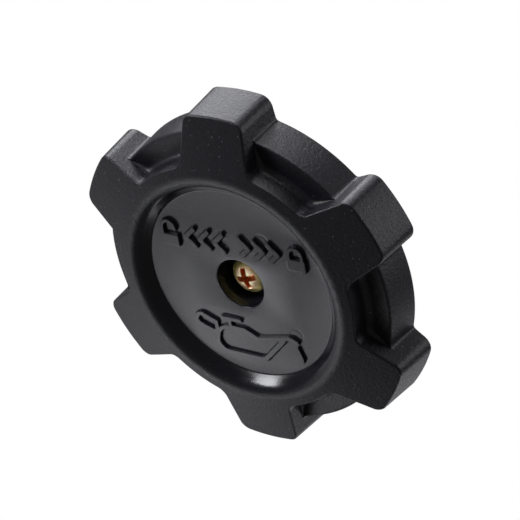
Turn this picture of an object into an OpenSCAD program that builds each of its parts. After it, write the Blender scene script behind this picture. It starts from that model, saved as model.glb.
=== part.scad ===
// Oil filler cap: a moulded six-lobed knob with a dished face, a rubber gasket under it, and a sprung
// lock plate with two lugs that a single centre screw holds on.
// The origin is on the cap's axis, in the sealing plane (the underside of the gasket). +Z is the cap's
// axis, up through the knob. +Y runs through one lobe. Millimetres.

/* [Grip] */
// Diameter across two opposite lobe tips, at their front edge
grip_d = 70; // [60:0.5:90]
// Height of the lobe tips, from front edge to back edge
grip_h = 9.7; // [8:0.1:14]
// Number of lobes
lobe_count = 6; // [4:1:8]
// Width of a lobe at its tip
lobe_w = 12.5; // [9:0.1:15]
// Angle by which each side of a lobe spreads towards the middle
lobe_flare = 7; // [0:0.5:12]
// Corner radius of the lobe tips, seen from the front
lobe_corner_r = 2.2; // [1:0.1:3]
// Fillet radius where a lobe grows out of the raised ring
lobe_root_r = 2.2; // [1:0.1:3]
// Draft of the outer walls, from the back edge to the front
draft = 4.5; // [0:0.5:6]
// Slope of the front face, from the ring down to the lobe tips
crown = 14.2; // [8:0.1:18]

/* [Ring and skirt] */
// Outer diameter of the raised ring between the lobes
ring_d = 51.6; // [49:0.1:54]
// Diameter of the skirt between the lobes
skirt_d = 62; // [59:0.1:65]
// Step from the lobe tips' front edge down to the finger pockets
pocket_drop = 2; // [1:0.1:3]
// Fillet radius where a lobe grows out of the skirt
skirt_root_r = 1.5; // [0.8:0.1:3]
// Wall thickness of the skirt
skirt_wall = 2.4; // [1.6:0.1:3]
// Thickness of the moulding over the pockets
roof_wall = 2.4; // [1.6:0.1:3]
// Wall left round the core of each lobe
lobe_wall = 3.4; // [2.5:0.1:4]
// Wall between the gasket's groove and the core of each lobe
groove_wall = 1.8; // [0.8:0.1:2.5]

/* [Dish] */
// Diameter of the flat floor of the dish
dish_d = 39.7; // [34:0.1:42]
// Height of the dish floor above the lobe tips' front edge
dish_lift = 0.45; // [0:0.05:1]
// Slope of the dish wall, from level
dish_slope = 47; // [35:1:60]
// Radius of the rounded lip between dish wall and front face
dish_lip_r = 1.6; // [0.8:0.1:2.5]
// Thickness of the face under the dish
face_t = 2.95; // [2:0.05:4]

/* [Screw well and boss] */
// Diameter of the well that the screw head sits in
well_d = 10.1; // [9.5:0.1:12]
// Depth of the well below the dish floor
well_depth = 5.05; // [4.5:0.05:7]
// Chamfer round the mouth of the well
well_chamfer = 0.35; // [0.1:0.05:0.8]
// Diameter of the centre boss
boss_d = 19; // [17:0.1:20]
// Distance from the sealing plane down to the end of the boss
boss_reach = 5.5; // [4.5:0.1:8]
// Number of ribs between boss and spigot
rib_count = 6; // [3:1:8]
// Thickness of a rib
rib_t = 1.8; // [1.2:0.1:2.5]
// Width of each of the two keys on the end of the boss
key_w = 5; // [3.5:0.1:6]
// Radial thickness of a key
key_t = 2.8; // [2:0.1:3]
// Length of a key that is left below the plate when the plate is pushed right down
key_spare = 0.4; // [0.2:0.1:1]

/* [Gasket and spigot] */
// Outer diameter of the gasket
gasket_od = 48; // [45:0.1:50]
// Width of the gasket's sealing face
gasket_w = 5.1; // [4:0.1:6]
// Thickness of the gasket
gasket_t = 3; // [2:0.1:4]
// Depth of the groove that the gasket sits in
groove_depth = 0.9; // [0.5:0.1:1.5]
// Step of the bead that keeps the gasket on the spigot
bead = 0.8; // [0.4:0.1:1]
// Height of the spigot's foot above the sealing plane
spigot_lift = 0.6; // [0.3:0.1:1]
// Wall thickness of the spigot
spigot_wall = 1.8; // [1.2:0.1:2]

/* [Screw] */
// Thread diameter of the centre screw
screw_d = 4; // [3:0.5:4]
// Diameter of the screw's pan head
head_d = 7; // [6:0.1:8]
// Height of the screw's pan head
head_h = 2.6; // [2:0.1:3]
// Radius of the head's domed top
head_dome_r = 5.2; // [4.4:0.1:8]
// Width of the cross recess's slots
recess_w = 1.1; // [0.8:0.1:1.4]
// Span of the cross recess
recess_span = 4.2; // [3:0.1:4.6]
// Depth of the cross recess
recess_depth = 1.6; // [1:0.1:1.8]
// Angle at which the tightened screw's recess stands
recess_turn = 14; // [0:1:89]
// Chamfer on the end of the screw
screw_chamfer = 0.5; // [0.2:0.1:0.8]
// Length of thread that shows below the nut
screw_proud = 0.7; // [0.3:0.1:3]
// Outer diameter of the seal under the screw head
seal_od = 9.2; // [8:0.1:9.3]
// Thickness of the seal under the screw head
seal_t = 1; // [0.6:0.1:1.5]

/* [Lock plate] */
// Thickness of the plate
plate_t = 1.5; // [1:0.1:2]
// Diameter of the plate's middle
plate_d = 27; // [25:0.1:30]
// Span over the ends of the two lugs
lug_span = 37; // [34:0.1:37.6]
// Width of a lug
lug_w = 14; // [10:0.1:18]
// Corner radius of a lug, seen from above
lug_corner_r = 1.5; // [0.5:0.1:3]
// Step by which the lugs are pressed down from the middle of the plate
lug_step = 1; // [0.4:0.1:1.6]
// Travel of the plate against its spring
plate_travel = 2; // [1:0.1:2.2]

/* [Spring stack] */
// Outer diameter of the sleeve that the plate slides on
sleeve_od = 7; // [6.4:0.1:7.4]
// Wire diameter of the spring
wire_d = 1; // [0.8:0.05:1.2]
// Radial room between the sleeve and the spring
spring_room = 1.15; // [0.5:0.05:1.5]
// Height of the spring as fitted
spring_h = 8.6; // [7.6:0.1:12]
// Number of turns, with the two closed end turns
spring_turns = 5; // [5:1:6]
// Thickness of the cup that the spring stands in
cup_t = 1; // [0.8:0.1:1.5]
// Height of the cup's rim
cup_rim = 1; // [0.6:0.1:1.5]
// Width across the flats of the nut
nut_af = 7; // [6.5:0.1:8]
// Height of the nut's six flats
nut_flat_h = 3.2; // [2.5:0.1:4]
// Width of the flat ring left on the nut's end by the cone that cuts its corners, inside the flats
nut_face_inset = 0.15; // [0:0.05:0.4]
// Slope of that cone, from level
nut_cone = 30; // [15:1:40]
// Diameter of the collar that holds the nut's nylon ring
collar_d = 6.5; // [6.3:0.1:6.9]
// Height of the collar
collar_h = 1.6; // [1.4:0.1:2]
// Radial thickness of the nylon ring
insert_wall = 0.7; // [0.5:0.1:0.8]
// Height of the nylon ring
insert_h = 1.2; // [0.8:0.1:1.3]

/* [Clearances] */
// Gap between the gasket and the walls beside it
gasket_gap = 0.1; // [0.05:0.05:0.3]
// Gap between the gasket's lip and the bead under it
bead_gap = 0.3; // [0.1:0.05:0.5]
// Radial play of a hole round the screw
screw_gap = 0.2; // [0.1:0.05:0.3]
// Radial play of the plate on its sleeve
slide_gap = 0.08; // [0.03:0.01:0.1]
// Play between a key and its slot in the plate
key_gap = 0.3; // [0.3:0.05:0.5]
// Gap between the spring and the cup or the keys beside it
spring_gap = 0.4; // [0.3:0.05:0.6]
// Radial play of the thread, which is left plain
thread_gap = 0.05; // [0.02:0.01:0.1]
// Gap between the closed end turns of the spring
closed_gap = 0.04; // [0.02:0.01:0.1]

/* [Hidden] */
$fn = 96;
arc_steps = 8;
// Length by which solids run into each other where they join, and by which cuts run out
lap = 1;
// Amount by which a lobe's rounded corner stands proud of its flat side, so that the two cross cleanly
blend = 0.02;

grip_r = grip_d / 2;
ring_r = ring_d / 2;
skirt_r = skirt_d / 2;
dish_r = dish_d / 2;
well_r = well_d / 2;
boss_r = boss_d / 2;
screw_r = screw_d / 2;
sleeve_r = sleeve_od / 2;

// Heights, from the sealing plane at 0
seat_z = gasket_t;
roof_z = seat_z - groove_depth;
pocket_z = roof_z + roof_wall;
tip_z = pocket_z + pocket_drop;
back_z = tip_z - grip_h;
dish_z = tip_z + dish_lift;
face_z = dish_z - face_t;
well_z = dish_z - well_depth;
head_z = well_z + seal_t;
boss_z = -boss_reach;
plate_z = boss_z - plate_t;
cup_z = plate_z - spring_h;
nut_z = cup_z - cup_t;
nut_foot_z = nut_z - nut_flat_h - collar_h;
screw_end_z = nut_foot_z - screw_proud;

// Radii that follow from a neighbour
seat_inner_r = gasket_od / 2 - gasket_w;
bead_r = seat_inner_r - gasket_gap;
bead_top_z = spigot_lift + bead;
spigot_r = bead_r - bead;
spigot_inner_r = spigot_r - spigot_wall;
groove_r = gasket_od / 2 + gasket_gap;
skirt_inner_r = skirt_r - skirt_wall;
spring_r = sleeve_r + spring_room + wire_d / 2;
spring_outer_r = spring_r + wire_d / 2;
key_inner_r = spring_outer_r + spring_gap + key_gap;
key_outer_r = key_inner_r + key_t;
key_drop = plate_t + plate_travel + key_spare;
shank_r = screw_r - thread_gap;
shaft_hole_r = screw_r + screw_gap;
insert_r = screw_r + insert_wall;

// Radius of the lobe tips at height z: they lean out by the draft towards the back
function tip_r_at(z) = grip_r + (tip_z - z) * tan(draft);
// Points on an arc round c, from angle a to angle b
function arc(c, r, a, b) =
    [for (i = [0:arc_steps]) c + r * [cos(a + (b - a) * i / arc_steps), sin(a + (b - a) * i / arc_steps)]];
// Height of the sloping front face at radius r
function crown_z(r) = tip_z + (grip_r - r) * tan(crown);
// Half width of a lobe, whose middle runs along +Y, at height y of the plan
function lobe_half(y) = lobe_w / 2 + (grip_r - y) * tan(lobe_flare);
// Centre of a circle of radius r that touches a lobe's side, inside it (side -1) or outside (side 1),
// and whose own centre is at distance d from the axis
function beside_lobe(r, side, d) =
    let (k = tan(lobe_flare), a = lobe_half(0) + side * r / cos(lobe_flare),
         y = (a * k + sqrt(a * a * k * k - (1 + k * k) * (a * a - d * d))) / (1 + k * k))
    [a - k * y, y];

// One lobe seen from the front, pointing along +Y: two flat sides that spread towards the middle, an
// arc for the tip and rounded corners
module lobe_blank(tip_r) {
    corner = beside_lobe(lobe_corner_r, -1, tip_r - lobe_corner_r);
    side_n = [cos(lobe_flare), sin(lobe_flare)];
    on_side = corner + lobe_corner_r * side_n;
    beyond = corner * (tip_r + lobe_corner_r) / norm(corner);
    root = [lobe_half(ring_r / 2), ring_r / 2];
    right = [root, on_side, beyond];
    intersection() {
        circle(r = tip_r);
        polygon(concat(right, [for (i = [2:-1:0]) [-right[i][0], right[i][1]]]));
    }
    for (x = [-1, 1]) translate([x * corner[0], corner[1]]) circle(r = lobe_corner_r + blend);
}

// Fillet between the right side of a lobe and a disc of radius r
module root_fillet(r, fillet_r) {
    centre = beside_lobe(fillet_r, 1, r + fillet_r);
    on_side = centre - fillet_r * [cos(lobe_flare), sin(lobe_flare)];
    on_disc = centre * r / norm(centre);
    difference() {
        polygon([centre, on_side, [0, on_side[1]], [0, on_disc[1] / 2], on_disc]);
        translate(centre) circle(r = fillet_r);
    }
}

// All lobes round a disc of radius r, with rounded tips and filleted roots
module lobed_outline(r, root_r) {
    circle(r = r);
    for (i = [0:lobe_count - 1]) rotate(i * 360 / lobe_count) {
        lobe_blank(tip_r_at(back_z));
        for (m = [0, 1]) mirror([m, 0]) root_fillet(r, root_r);
    }
}

// Half section of the front: the leaning lobe tips, the sloping face, the rounded lip and the dish
module front_section() {
    tc = tan(crown);
    td = tan(dish_slope);
    corner_r = (tip_z - dish_z + grip_r * tc + dish_r * td) / (tc + td);
    corner = [corner_r, crown_z(corner_r)];
    face_n = [sin(crown), cos(crown)];
    wall_n = [-sin(dish_slope), cos(dish_slope)];
    centre = corner - dish_lip_r * (face_n + wall_n) / (1 + face_n * wall_n);
    polygon(concat(
        [[0, back_z], [tip_r_at(back_z), back_z], [grip_r, tip_z]],
        arc(centre, dish_lip_r, 90 - crown, 90 + dish_slope),
        [[dish_r, dish_z], [0, dish_z]]));
}

// Core of one lobe, open below
module lobe_core() {
    w = lobe_w - 2 * lobe_wall;
    reach = grip_r - lobe_wall - w / 2;
    start = groove_r + groove_wall;
    translate([0, 0, back_z - lap]) linear_extrude(height = tip_z - roof_wall - back_z + lap)
        union() {
            translate([0, reach]) circle(d = w);
            translate([-w / 2, start]) square([w, reach - start]);
        }
}

// Half section of the spigot, with the bead that keeps the gasket on. It ends above the sealing plane, so
// that the gasket stands proud and the top of the neck can run in under it
module spigot_section() {
    polygon([[spigot_inner_r, face_z + lap], [spigot_inner_r, spigot_lift],
             [bead_r - bead / 2, spigot_lift], [bead_r, spigot_lift + bead / 2],
             [bead_r, bead_top_z], [spigot_r, bead_top_z], [spigot_r, seat_z + lap],
             [spigot_r - spigot_wall / 2, face_z + lap]]);
}

// The two keys on the end of the boss, which turn the plate with the knob
module keys(play) {
    for (a = [0, 180]) rotate(a)
        intersection() {
            translate([-key_w / 2 - play, key_inner_r - play, 0])
                cube([key_w + 2 * play, key_t + 2 * play, key_drop]);
            cylinder(r = key_outer_r + play, h = key_drop);
        }
}

// The outside of the knob: skirt level and ring level, trimmed by the section of the front
module knob_body() {
    intersection() {
        union() {
            translate([0, 0, back_z - lap])
                linear_extrude(height = pocket_z - back_z + lap) lobed_outline(skirt_r, skirt_root_r);
            translate([0, 0, pocket_z])
                linear_extrude(height = crown_z(0) - pocket_z) lobed_outline(ring_r, lobe_root_r);
        }
        rotate_extrude() front_section();
    }
}

// The boss round the screw, with the ribs that tie it to the spigot and the keys on its end
module boss() {
    rib_start = boss_r - lap;
    rib_end = spigot_inner_r + lap;
    difference() {
        union() {
            translate([0, 0, boss_z]) cylinder(r = boss_r, h = dish_z - boss_z);
            for (i = [0:rib_count - 1]) rotate((i + 0.5) * 360 / rib_count)
                translate([rib_start, -rib_t / 2, spigot_lift])
                    cube([rib_end - rib_start, rib_t, face_z + lap - spigot_lift]);
            translate([0, 0, boss_z - key_drop]) keys(0);
        }
        translate([0, 0, well_z]) cylinder(r = well_r, h = well_depth + lap);
        translate([0, 0, dish_z - well_chamfer])
            cylinder(r1 = well_r, r2 = well_r + 2 * well_chamfer, h = 2 * well_chamfer);
        translate([0, 0, boss_z - lap]) cylinder(r = shaft_hole_r, h = well_z - boss_z + 2 * lap);
    }
}

module grip_knob() {
    color([0.13, 0.13, 0.14])
    union() {
        difference() {
            knob_body();
            // Hollow under the roof, inside the skirt
            translate([0, 0, back_z - lap]) cylinder(r = skirt_inner_r, h = roof_z - back_z + lap);
            // Groove for the gasket, and the space inside the spigot
            translate([0, 0, roof_z - lap]) cylinder(r = groove_r, h = groove_depth + lap);
            cylinder(r = spigot_inner_r, h = face_z);
            for (i = [0:lobe_count - 1]) rotate(i * 360 / lobe_count) lobe_core();
            // Room for the boss, a little narrower than the boss itself
            cylinder(r = boss_r - lap / 2, h = 2 * tip_z);
        }
        rotate_extrude() spigot_section();
        boss();
    }
}

module centre_screw() {
    shank_h = head_z - screw_end_z - screw_chamfer;
    color([0.83, 0.66, 0.30])
    difference() {
        union() {
            translate([0, 0, head_z]) intersection() {
                cylinder(d = head_d, h = head_h);
                translate([0, 0, head_h - head_dome_r]) sphere(r = head_dome_r);
            }
            translate([0, 0, screw_end_z + screw_chamfer]) cylinder(r = shank_r, h = shank_h + head_h / 2);
            translate([0, 0, screw_end_z])
                cylinder(r1 = shank_r - screw_chamfer, r2 = shank_r, h = screw_chamfer);
        }
        for (a = [0, 90]) rotate(recess_turn + a)
            translate([-recess_span / 2, -recess_w / 2, head_z + head_h - recess_depth])
                cube([recess_span, recess_w, recess_depth + lap]);
    }
}

module screw_seal() {
    color([0.06, 0.06, 0.06])
    translate([0, 0, well_z]) difference() {
        cylinder(d = seal_od, h = seal_t);
        translate([0, 0, -lap]) cylinder(r = screw_r, h = seal_t + 2 * lap);
    }
}

module gasket() {
    color([0.09, 0.09, 0.09])
    difference() {
        cylinder(d = gasket_od, h = gasket_t);
        translate([0, 0, -lap]) cylinder(r = spigot_r + gasket_gap, h = gasket_t + 2 * lap);
        // Rebate that leaves a lip over the spigot's bead
        translate([0, 0, -lap]) cylinder(r = seat_inner_r, h = bead_top_z + bead_gap + lap);
    }
}

module spacer_sleeve() {
    color([0.72, 0.72, 0.70])
    translate([0, 0, cup_z]) difference() {
        cylinder(r = sleeve_r, h = boss_z - cup_z);
        translate([0, 0, -lap]) cylinder(r = shaft_hole_r, h = boss_z - cup_z + 2 * lap);
    }
}

// Side view of the plate: flat in the middle, with the lugs pressed down a step
module plate_side() {
    bend = plate_d / 2;
    half = lug_span / 2;
    top = [[-half, -lug_step], [-bend - lug_step, -lug_step], [-bend, 0],
           [bend, 0], [bend + lug_step, -lug_step], [half, -lug_step]];
    polygon(concat(top, [for (i = [len(top) - 1:-1:0]) top[i] - [0, plate_t]]));
}

// Plan of the plate: a round middle with two lugs whose ends are arcs and whose corners are rounded
module plate_plan() {
    intersection() {
        circle(d = lug_span);
        union() {
            circle(d = plate_d);
            square([lug_span - 2 * lug_corner_r, lug_w], center = true);
            square([lug_span, lug_w - 2 * lug_corner_r], center = true);
            for (x = [-1, 1], y = [-1, 1])
                translate([x * (lug_span / 2 - lug_corner_r), y * (lug_w / 2 - lug_corner_r)])
                    circle(r = lug_corner_r);
        }
    }
}

module lock_plate() {
    color([0.80, 0.66, 0.32])
    difference() {
        intersection() {
            translate([0, 0, boss_z]) rotate([90, 0, 0])
                linear_extrude(height = plate_d + 2 * lap, center = true) plate_side();
            translate([0, 0, plate_z - lug_step - lap])
                linear_extrude(height = plate_t + lug_step + 2 * lap) plate_plan();
        }
        translate([0, 0, plate_z - lap]) cylinder(r = sleeve_r + slide_gap, h = plate_t + 2 * lap);
        translate([0, 0, plate_z - lap]) keys(key_gap);
    }
}

// Height of the wire's centre after t turns: the end turns lie closed, and are ground flat to a quarter
// of the wire, and the rest share the rise
function coil_z(t) =
    let (low = wire_d / 4, closed = wire_d + closed_gap, top = spring_h - wire_d / 4,
         open = (top - low - 2 * closed) / (spring_turns - 2))
    t < 1 ? low + closed * t
    : t > spring_turns - 1 ? top - closed * (spring_turns - t)
    : low + closed + open * (t - 1);

// The wire as rings of points along the coil
module coil_wire() {
    steps = 24 * spring_turns;
    sides = 8;
    rings = [for (i = [0:steps])
        let (t = spring_turns * i / steps, a = 360 * t, z = coil_z(t))
        [for (k = [0:sides - 1])
            let (r = spring_r + wire_d / 2 * cos(360 * k / sides))
            [r * cos(a), r * sin(a), z + wire_d / 2 * sin(360 * k / sides)]]];
    points = [for (ring = rings) for (p = ring) p];
    walls = [for (i = [0:steps - 1]) for (k = [0:sides - 1])
        let (a = i * sides + k, b = i * sides + (k + 1) % sides)
        [a, b, b + sides, a + sides]];
    first = [for (k = [sides - 1:-1:0]) k];
    last = [for (k = [0:sides - 1]) steps * sides + k];
    polyhedron(points, concat([first], walls, [last]), convexity = 10);
}

module lock_spring() {
    color([0.62, 0.63, 0.64])
    translate([0, 0, cup_z]) intersection() {
        coil_wire();
        translate([0, 0, spring_h / 2]) cube([4 * spring_r, 4 * spring_r, spring_h], center = true);
    }
}

module spring_cup() {
    inner = spring_outer_r + spring_gap;
    color([0.80, 0.66, 0.32])
    translate([0, 0, nut_z]) difference() {
        cylinder(r = inner + cup_t, h = cup_t + cup_rim);
        translate([0, 0, cup_t]) cylinder(r = inner, h = cup_rim + lap);
        translate([0, 0, -lap]) cylinder(r = shaft_hole_r, h = cup_t + 2 * lap);
    }
}

// A hexagonal prism whose corners a cone cuts back at both ends
module chamfered_hexagon() {
    face_r = nut_af / 2 - nut_face_inset;
    wide_r = face_r + nut_flat_h / tan(nut_cone);
    intersection() {
        cylinder(d = nut_af / cos(30), h = nut_flat_h, $fn = 6);
        cylinder(r1 = face_r, r2 = wide_r, h = nut_flat_h);
        cylinder(r1 = wide_r, r2 = face_r, h = nut_flat_h);
    }
}

module lock_nut() {
    color([0.80, 0.66, 0.32])
    translate([0, 0, nut_foot_z]) difference() {
        union() {
            translate([0, 0, collar_h]) chamfered_hexagon();
            cylinder(d = collar_d, h = collar_h + lap);
        }
        translate([0, 0, -lap]) cylinder(r = screw_r, h = collar_h + nut_flat_h + 2 * lap);
        translate([0, 0, -lap]) cylinder(r = insert_r, h = insert_h + lap);
    }
}

module nut_insert() {
    color([0.85, 0.86, 0.84])
    translate([0, 0, nut_foot_z]) difference() {
        cylinder(r = insert_r, h = insert_h);
        translate([0, 0, -lap]) cylinder(r = screw_r, h = insert_h + 2 * lap);
    }
}

grip_knob();
centre_screw();
screw_seal();
gasket();
spacer_sleeve();
lock_plate();
lock_spring();
spring_cup();
lock_nut();
nut_insert();
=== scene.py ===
"""Oil filler cap: the visible surfaces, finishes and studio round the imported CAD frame."""

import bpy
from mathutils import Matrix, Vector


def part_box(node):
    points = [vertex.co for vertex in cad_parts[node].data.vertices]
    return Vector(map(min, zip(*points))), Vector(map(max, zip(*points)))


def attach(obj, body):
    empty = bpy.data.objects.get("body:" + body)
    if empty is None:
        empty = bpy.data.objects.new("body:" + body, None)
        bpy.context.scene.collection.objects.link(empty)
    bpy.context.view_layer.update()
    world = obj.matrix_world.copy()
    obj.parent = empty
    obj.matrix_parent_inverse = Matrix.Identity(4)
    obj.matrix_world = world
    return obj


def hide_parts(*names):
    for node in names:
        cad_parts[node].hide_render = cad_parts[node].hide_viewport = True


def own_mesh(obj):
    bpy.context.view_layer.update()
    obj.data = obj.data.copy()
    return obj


bl_info = {
    "name": "Oil Filler Cap",
    "version": (1, 0, 0),
    "blender": (4, 5, 0),
    "location": "3D View > Sidebar > Oil Cap",
    "description": "Builds a six-lobed oil filler cap with its screw, gasket and sprung lock plate",
    "category": "Add Mesh",
}

import math
from types import SimpleNamespace

import bmesh
import bpy
import numpy as np
from bpy.props import FloatProperty, FloatVectorProperty, IntProperty, PointerProperty
from mathutils import Matrix, Vector
from mathutils.geometry import delaunay_2d_cdt

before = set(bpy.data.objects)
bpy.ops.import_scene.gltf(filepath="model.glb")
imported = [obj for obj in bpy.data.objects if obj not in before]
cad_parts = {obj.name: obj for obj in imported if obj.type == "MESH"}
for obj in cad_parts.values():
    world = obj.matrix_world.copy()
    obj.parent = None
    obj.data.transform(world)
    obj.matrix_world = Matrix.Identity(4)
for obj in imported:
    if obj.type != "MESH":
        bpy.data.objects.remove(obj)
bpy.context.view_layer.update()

MM = 0.001
LOBES = 6


def extent(node):
    """Outer radius, lowest and highest point of a CAD node, in millimetres."""
    low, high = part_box(node)
    return SimpleNamespace(radius=high[0] / MM, low=low[2] / MM, high=high[2] / MM)


GASKET = extent("gasket")
SEAL = extent("screw_seal")
SCREW = extent("centre_screw")
SPRING = extent("lock_spring")
NUT = extent("lock_nut")
INSERT = extent("nut_insert")


def length(name, description, default):
    """A length property, in metres."""
    return FloatProperty(name=name, description=description, default=default, unit="LENGTH", precision=5)


def angle(name, description, degrees):
    """An angle property, given in degrees and kept in radians."""
    return FloatProperty(name=name, description=description, default=math.radians(degrees), subtype="ANGLE")


def colour(name, description, default):
    """A colour property, in linear light."""
    return FloatVectorProperty(name=name, description=description, default=default, subtype="COLOR",
                               min=0, max=1)


def level(name, description, default):
    """A plain factor, zero or more."""
    return FloatProperty(name=name, description=description, default=default, subtype="FACTOR", min=0,
                         soft_max=2)


class KnobSettings(bpy.types.PropertyGroup):
    """Sizes and colours of the moulded knob."""

    tip_radius: length("Tip radius", "Radius of the lobe tips at their front edge", 0.035)
    tip_height: length("Tip height", "Height of the lobe tips' front edge", 0.0065)
    lobe_half: length("Lobe half width", "Half the width of a lobe at its tip", 0.00625)
    lobe_flare: angle("Lobe flare", "Angle by which a lobe's side spreads towards the middle", 7)
    corner_radius: length("Corner radius", "Corner radius of the lobe tips", 0.0022)
    ring_radius: length("Ring radius", "Radius of the raised ring between the lobes", 0.0258)
    ring_fillet: length("Ring fillet", "Fillet between a lobe and the ring", 0.0022)
    skirt_radius: length("Skirt radius", "Radius of the skirt between the lobes", 0.03078)
    skirt_fillet: length("Skirt fillet", "Fillet between a lobe and the skirt", 0.0015)
    pocket_height: length("Pocket height", "Height of the finger pockets", 0.0045)
    back_height: length("Back height", "Height of the skirt's back edge", -0.0032)
    tip_draft: angle("Tip draft", "Lean of the tips, ring and skirt", 4.5)
    side_draft: angle("Side draft", "Lean of the lobes' sides", 2)
    crown: angle("Crown", "Slope of the front face", 14.2)
    edge_radius: length("Edge radius", "Rounding of the front edges", 0.00045)
    pocket_fillet: length("Pocket fillet", "Fillet at the foot of the ring", 0.0013)
    back_radius: length("Back edge radius", "Rounding of the back edge", 0.00025)
    dish_radius: length("Dish radius", "Radius of the dish's flat floor", 0.01985)
    dish_height: length("Dish height", "Height of the dish's floor", 0.00695)
    dish_slope: angle("Dish slope", "Slope of the dish's wall", 47)
    lip_radius: length("Lip radius", "Rounding between dish and front face", 0.0031)
    dish_fillet: length("Dish fillet", "Fillet between the dish's wall and floor", 0.0004)
    well_radius: length("Well radius", "Radius of the screw's well", 0.00505)
    well_edge: length("Well edge", "Rounding of the well's mouth", 0.00024)
    mark_height: length("Mark height", "Height of the raised turning marks in the dish", 0.00065)
    can_height: length("Can height", "Height of the raised oil can and its drop", 0.00055)
    witness_depth: length("Witness depth", "Depth of the rings that the mould's ejector pins leave", 0.00004)
    mark_edge: length("Mark edge", "Width over which a mark's wall falls", 0.00014)
    mark_grid: length("Mark grid", "Spacing of the mesh under the marks", 0.00011)
    plastic: colour("Plastic", "Colour of the black moulding", (0.0092, 0.0092, 0.0135))
    speck: colour("Speck", "Colour of the pale specks in the moulding", (0.13, 0.13, 0.135))
    plastic_sheen: level("Plastic sheen", "Specular level of the moulding, 0.5 on smooth plastic", 0.42)


class ScrewSettings(bpy.types.PropertyGroup):
    """Sizes and colours of the centre screw and its nut."""

    head_radius: length("Head radius", "Radius of the pan head", 0.0035)
    dome_radius: length("Dome radius", "Radius of the head's domed top", 0.0052)
    wing_length: length("Wing length", "Reach of the recess's wings from the middle", 0.00215)
    wing_width: length("Wing width", "Width of the recess's wings", 0.0011)
    wing_taper: angle("Wing taper", "Angle between a wing's end wall and the axis", 26.5)
    recess_depth: length("Recess depth", "Depth of the recess in the middle", 0.0016)
    recess_turn: angle("Recess turn", "Angle of the recess about the axis", 14)
    thread_radius: length("Thread radius", "Outer radius of the thread", 0.00195)
    thread_depth: length("Thread depth", "Depth of the thread", 0.0003)
    pitch: length("Pitch", "Pitch of the thread", 0.0007)
    nut_flats: length("Nut flats", "Width across the nut's flats", 0.007)
    nut_flat_height: length("Nut flat height", "Height of the nut's flats", 0.0032)
    collar_radius: length("Collar radius", "Radius of the nut's collar", 0.00325)
    bore_radius: length("Bore radius", "Radius of the nut's bore", 0.002)
    zinc: colour("Zinc", "Colour of the zinc on the head's face", (0.97, 0.91, 0.62))
    zinc_rim: colour("Zinc rim", "Colour of the thicker film towards the head's rim", (0.88, 0.77, 0.26))
    zinc_recess: colour("Zinc recess", "Colour of the brown film in the head's recess", (0.62, 0.22, 0.06))
    nylon: colour("Nylon", "Colour of the nylon ring", (0.78, 0.79, 0.74))


class SealSettings(bpy.types.PropertyGroup):
    """Sizes and colours of the rubber parts."""

    lip_radius: length("Lip radius", "Inner radius of the gasket's lip, above the spigot's bead", 0.0181)
    face_radius: length("Face radius", "Inner radius of the gasket's sealing face", 0.0189)
    lip_height: length("Lip height", "Height of the lip's underside above the sealing face", 0.0017)
    edge_radius: length("Edge radius", "Rounding of the gasket's edges", 0.0003)
    seal_bore: length("Seal bore", "Radius of the hole in the screw's seal", 0.002)
    seal_edge: length("Seal edge", "Rounding of the screw's seal", 0.0002)
    rubber: colour("Rubber", "Colour of the rubber", (0.016, 0.016, 0.017))


class SpringSettings(bpy.types.PropertyGroup):
    """Sizes and colours of the spring stack."""

    wire_radius: length("Wire radius", "Radius of the spring's wire", 0.0005)
    turns: IntProperty(name="Turns", description="Turns of the spring, with its closed ends", default=5,
                       min=4, max=8)
    closed_gap: length("Closed gap", "Gap between the closed end turns", 0.00004)
    plate_travel: length("Plate travel", "Travel of the lock plate against the spring", 0.002)
    bevel: length("Bevel", "Rounding of the pressed parts' edges", 0.00018)
    steel: colour("Steel", "Colour of the plain steel", (0.52, 0.52, 0.53))
    pressing: colour("Pressing", "Colour of the yellow zinc on the pressed parts", (0.74, 0.60, 0.32))
    pressing_film: colour("Pressing film", "Colour of its thicker film", (0.66, 0.58, 0.27))


class StageSettings(bpy.types.PropertyGroup):
    """Camera, lamps and floor."""

    aim: FloatVectorProperty(name="Aim", description="Point on the camera's axis, beside the cap", size=3,
                             default=(0.001522, 0.002456, 0.001868), unit="LENGTH")
    azimuth: angle("Azimuth", "Direction of the camera round the cap's axis, from -Y", 134.08)
    elevation: angle("Elevation", "Height of the camera above the cap's face", 41.823)
    roll: angle("Roll", "Turn of the camera about its own axis", 133.333)
    distance: length("Distance", "Distance of the camera from the aim", 0.5066)
    lens: FloatProperty(name="Lens", description="Focal length of the camera in millimetres", default=190.07,
                        unit="CAMERA")
    lamp_level: level("Lamp level", "Factor on the power of every softbox", 1.25)
    room_level: level("Room level", "Strength of the even light from all round", 0.11)
    snoot_power: FloatProperty(name="Snoot power", description="Power of the narrow lamp on the screw's head",
                               default=9.0, min=0, unit="POWER")
    floor_height: length("Floor height", "Height of the studio floor, well below the cap", -1.0)
    floor_size: length("Floor size", "Width of the studio floor", 9.0)
    floor_colour: colour("Floor colour", "Colour of the studio floor", (0.86, 0.86, 0.86))


SETTINGS = {
    "cap_knob": KnobSettings,
    "cap_screw": ScrewSettings,
    "cap_seal": SealSettings,
    "cap_spring": SpringSettings,
    "cap_stage": StageSettings,
}


def sizes(settings):
    """The settings as plain values: lengths in millimetres, angles in radians, colours as tuples."""
    values = SimpleNamespace()
    for prop in settings.bl_rna.properties:
        if prop.identifier in {"rna_type", "name"}:
            continue
        value = getattr(settings, prop.identifier)
        if prop.type == "FLOAT" and prop.unit == "LENGTH":
            value = value / MM
        elif prop.type == "FLOAT" and prop.is_array:
            value = tuple(value)
        setattr(values, prop.identifier, value)
    return values


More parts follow.
